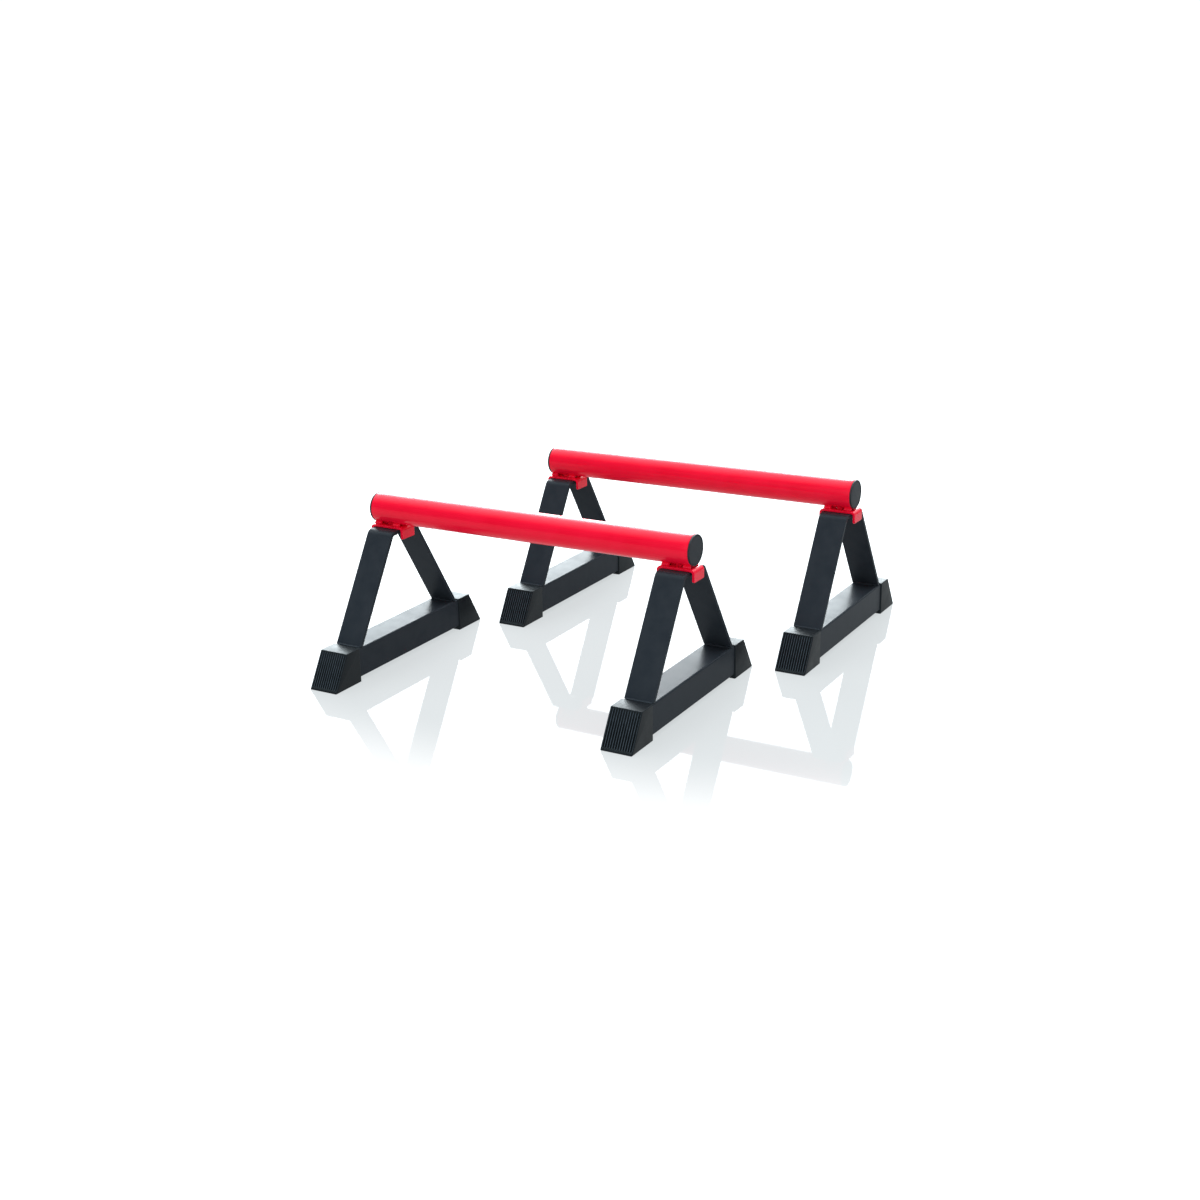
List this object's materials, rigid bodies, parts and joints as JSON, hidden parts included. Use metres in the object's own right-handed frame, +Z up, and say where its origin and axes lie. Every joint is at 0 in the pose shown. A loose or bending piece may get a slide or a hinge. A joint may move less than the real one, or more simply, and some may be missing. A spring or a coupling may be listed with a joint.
{
  "type": "parallel bars",
  "caption": "Low free-standing parallel bars for floor exercises: round hand bars bolted on A-frames of bent flat steel, with square base tubes and ribbed rubber feet.",
  "frame": {"origin": "on the floor, midway between the two units, at the middle of the pair's outline seen from above", "axes": "+X along the hand bars to the right, +Y from the front unit to the rear unit, +Z up"},
  "size_m": [0.706, 0.84, 0.2838],
  "materials": {
    "red_powder_coat": "smooth gloss red powder coat",
    "black_powder_coat": "satin black powder coat with a fine texture",
    "black_plastic": "moulded, fine matt grain",
    "black_rubber": "matt moulded rubber",
    "zinc_plate": "bright zinc plated steel"
  },
  "bodies": {
    "front_unit": {"front_bar_tube": "red_powder_coat", "front_left_end_cap": "black_plastic", "front_left_bracket": "red_powder_coat", "front_left_weld_nut": "red_powder_coat", "front_left_bolt": "zinc_plate", "front_left_spring_washer": "zinc_plate", "front_left_flat_washer": "zinc_plate", "front_left_frame_strap": "black_powder_coat", "front_left_base_tube": "black_powder_coat", "front_left_foot_near": "black_rubber", "front_left_foot_far": "black_rubber", "front_right_end_cap": "black_plastic", "front_right_bracket": "red_powder_coat", "front_right_weld_nut": "red_powder_coat", "front_right_bolt": "zinc_plate", "front_right_spring_washer": "zinc_plate", "front_right_flat_washer": "zinc_plate", "front_right_frame_strap": "black_powder_coat", "front_right_base_tube": "black_powder_coat", "front_right_foot_near": "black_rubber", "front_right_foot_far": "black_rubber"},
    "rear_unit": {"rear_bar_tube": "red_powder_coat", "rear_left_end_cap": "black_plastic", "rear_left_bracket": "red_powder_coat", "rear_left_weld_nut": "red_powder_coat", "rear_left_bolt": "zinc_plate", "rear_left_spring_washer": "zinc_plate", "rear_left_flat_washer": "zinc_plate", "rear_left_frame_strap": "black_powder_coat", "rear_left_base_tube": "black_powder_coat", "rear_left_foot_near": "black_rubber", "rear_left_foot_far": "black_rubber", "rear_right_end_cap": "black_plastic", "rear_right_bracket": "red_powder_coat", "rear_right_weld_nut": "red_powder_coat", "rear_right_bolt": "zinc_plate", "rear_right_spring_washer": "zinc_plate", "rear_right_flat_washer": "zinc_plate", "rear_right_frame_strap": "black_powder_coat", "rear_right_base_tube": "black_powder_coat", "rear_right_foot_near": "black_rubber", "rear_right_foot_far": "black_rubber"}
  },
  "joints": [
    {"name": "bar_spacing", "type": "slide", "parent": "front_unit", "child": "rear_unit", "axis": [0, 1, 0], "range_m": [-0.12, 0.3]}
  ]
}
